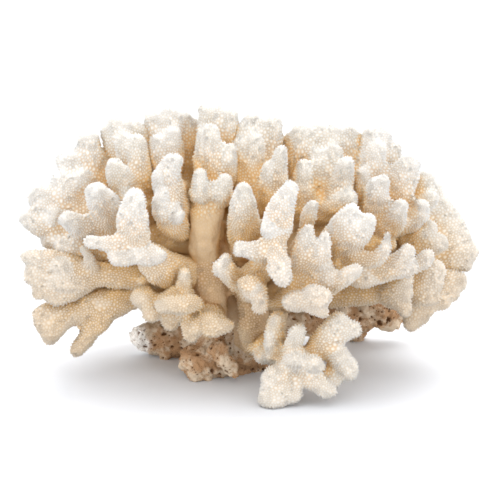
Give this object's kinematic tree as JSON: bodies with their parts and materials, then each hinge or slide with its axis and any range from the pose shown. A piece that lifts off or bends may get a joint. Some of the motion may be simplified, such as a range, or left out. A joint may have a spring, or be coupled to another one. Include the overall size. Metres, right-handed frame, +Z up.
{
  "type": "finger coral skeleton",
  "caption": "Dry branching coral skeleton with blunt, granular fingers spreading from a dead base that is cut off flat.",
  "frame": {"origin": "the middle of the flat cut under the trunk, on the surface that the coral stands on", "axes": "+X to the right and along the colony's greatest width, +Y away from the viewer, +Z up"},
  "size_m": [0.2725, 0.1638, 0.165],
  "materials": {
    "coral_cream": "dry, chalky and granular, off-white at the finger tips and cream to tan below",
    "coral_white": "dry, chalky and granular, the whitest limbs",
    "coral_tan": "dry and smoother, tan columns above brown, pitted rock",
    "dead_base": "dry, brown, porous and encrusted"
  },
  "bodies": {
    "root": {"trunk": "coral_tan", "dead_branch": "dead_base", "front_middle_limb": "coral_white", "front_right_limb": "coral_white", "left_front_limb": "coral_white", "right_front_limb": "coral_white", "left_high_limb": "coral_white", "crown_left_middle_limb": "coral_white", "right_high_limb": "coral_white", "foot_right": "coral_cream", "foot_left": "coral_cream", "crown_middle_limb": "coral_cream", "left_low_limb": "coral_cream", "left_middle_limb": "coral_cream", "crown_left_limb": "coral_cream", "crown_right_middle_limb": "coral_cream", "crown_right_limb": "coral_cream", "right_low_limb": "coral_cream", "right_rim_limb": "coral_cream", "back_left_limb": "coral_cream", "back_middle_left_limb": "coral_cream", "back_middle_right_limb": "coral_cream", "back_right_limb": "coral_cream", "crown_back_left_limb": "coral_cream", "crown_back_middle_limb": "coral_cream", "crown_back_right_limb": "coral_cream"}
  },
  "joints": []
}
